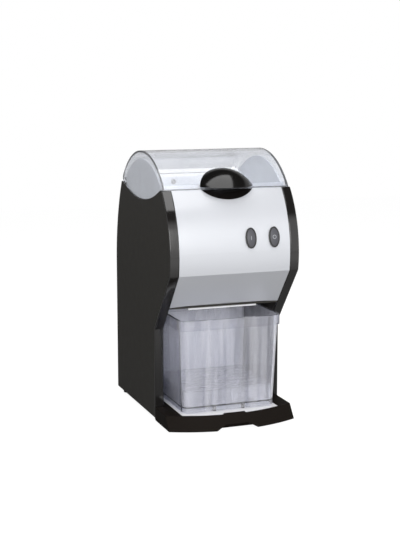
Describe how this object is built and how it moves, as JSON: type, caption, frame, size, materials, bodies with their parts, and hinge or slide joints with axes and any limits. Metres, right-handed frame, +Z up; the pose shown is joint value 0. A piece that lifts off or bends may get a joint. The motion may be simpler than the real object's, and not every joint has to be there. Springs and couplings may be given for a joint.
{
  "type": "ice crusher",
  "caption": "Bar-top electric ice crusher: clear hinged hopper lid over a toothed rotor, silver front with two buttons, and a clear ice container standing on a pull-out drip tray.",
  "frame": {"origin": "on the ground, under the middle of the machine's outline", "axes": "+Z up, front towards -Y, +X to the right as seen by someone who faces the front"},
  "size_m": [0.22, 0.3105, 0.4435],
  "materials": {
    "gloss_black": "moulded gloss black",
    "grained_black": "fine grained black",
    "silver_panel": "satin silver lacquer",
    "clear_plastic": "clear, polished",
    "grey_plastic": "satin grey",
    "stainless": "brushed stainless",
    "zinc_steel": "bright zinc plate",
    "cast_aluminium": "as cast",
    "black_rubber": "matt",
    "white_nylon": "natural nylon",
    "circuit_board": "lacquered board with black components",
    "button_grey": "satin dark grey"
  },
  "bodies": {
    "machine": {"base_plate": "zinc_steel", "rubber_feet": "black_rubber", "base_screws": "zinc_steel", "chassis_side_left": "grained_black", "chassis_side_right": "grained_black", "side_casing_left": "grained_black", "side_casing_right": "grained_black", "front_trim_left": "gloss_black", "front_trim_right": "gloss_black", "front_panel": "silver_panel", "finger_scoop": "gloss_black", "rear_cover": "gloss_black", "rear_cover_screws": "zinc_steel", "cord_gland": "black_rubber", "niche_back_plate": "grey_plastic", "niche_ceiling": "grained_black", "deck_plate": "zinc_steel", "deck_screws": "zinc_steel", "discharge_chute": "grey_plastic", "hopper": "grey_plastic", "crusher_plate_left": "zinc_steel", "crusher_plate_right": "zinc_steel", "front_shroud": "stainless", "rear_shroud": "stainless", "fixed_comb": "stainless", "comb_bolts": "zinc_steel", "tie_rods": "zinc_steel", "bearing_left": "cast_aluminium", "bearing_right": "cast_aluminium", "bearing_screws": "zinc_steel", "drive_belt": "black_rubber", "motor_housing": "cast_aluminium", "motor_bracket": "zinc_steel", "motor_screws": "zinc_steel", "capacitor": "white_nylon", "control_board": "circuit_board", "board_standoffs": "white_nylon", "terminal_block": "white_nylon", "lid_switch": "white_nylon", "hinge_pins": "zinc_steel", "button_bezels": "gloss_black", "switch_blocks": "white_nylon"},
    "lid": {"lid": "clear_plastic", "lid_handle": "gloss_black", "lid_magnet": "zinc_steel"},
    "rotor": {"rotor_shaft": "stainless", "rotor_drum": "stainless", "rotor_discs": "stainless", "retaining_ring": "stainless", "driven_pulley": "cast_aluminium"},
    "motor_rotor": {"motor_shaft": "zinc_steel", "motor_pulley": "cast_aluminium", "cooling_fan": "grained_black"},
    "start_button": {"start_button": "button_grey"},
    "stop_button": {"stop_button": "button_grey"},
    "tray": {"drip_tray": "gloss_black", "drip_plate": "stainless"},
    "container": {"ice_container": "clear_plastic", "container_feet": "black_rubber"},
    "grid": {"drain_grid": "clear_plastic"}
  },
  "joints": [
    {"name": "lid_hinge", "type": "hinge", "parent": "machine", "child": "lid", "pos_m": [0, 0.11112, 0.39045], "axis": [-1, 0, 0], "range_deg": [0, 100]},
    {"name": "rotor_spin", "type": "hinge", "parent": "machine", "child": "rotor", "pos_m": [0, -0.04225, 0.29], "axis": [-1, 0, 0], "continuous": true},
    {"name": "motor_spin", "type": "hinge", "parent": "machine", "child": "motor_rotor", "pos_m": [0, 0.09875, 0.086], "axis": [-1, 0, 0], "continuous": true},
    {"name": "start_press", "type": "slide", "parent": "machine", "child": "start_button", "axis": [0, 0.9833, -0.1822], "range_m": [0, 0.0025], "stiffness_N_per_m": 600, "springref_m": -0.002},
    {"name": "stop_press", "type": "slide", "parent": "machine", "child": "stop_button", "axis": [0, 0.9833, -0.1822], "range_m": [0, 0.0025], "stiffness_N_per_m": 600, "springref_m": -0.002},
    {"name": "tray_slide", "type": "slide", "parent": "machine", "child": "tray", "axis": [0, -1, 0], "range_m": [0, 0.1]},
    {"name": "container_slide", "type": "slide", "parent": "tray", "child": "container", "axis": [0, -0.9992, 0.0401], "range_m": [0, 0.17]},
    {"name": "grid_lift", "type": "slide", "parent": "container", "child": "grid", "axis": [0, 0, 1], "range_m": [0, 0.12]}
  ],
  "couplings": [
    {"joint": "motor_spin", "follows": "rotor_spin", "ratio": 3}
  ]
}
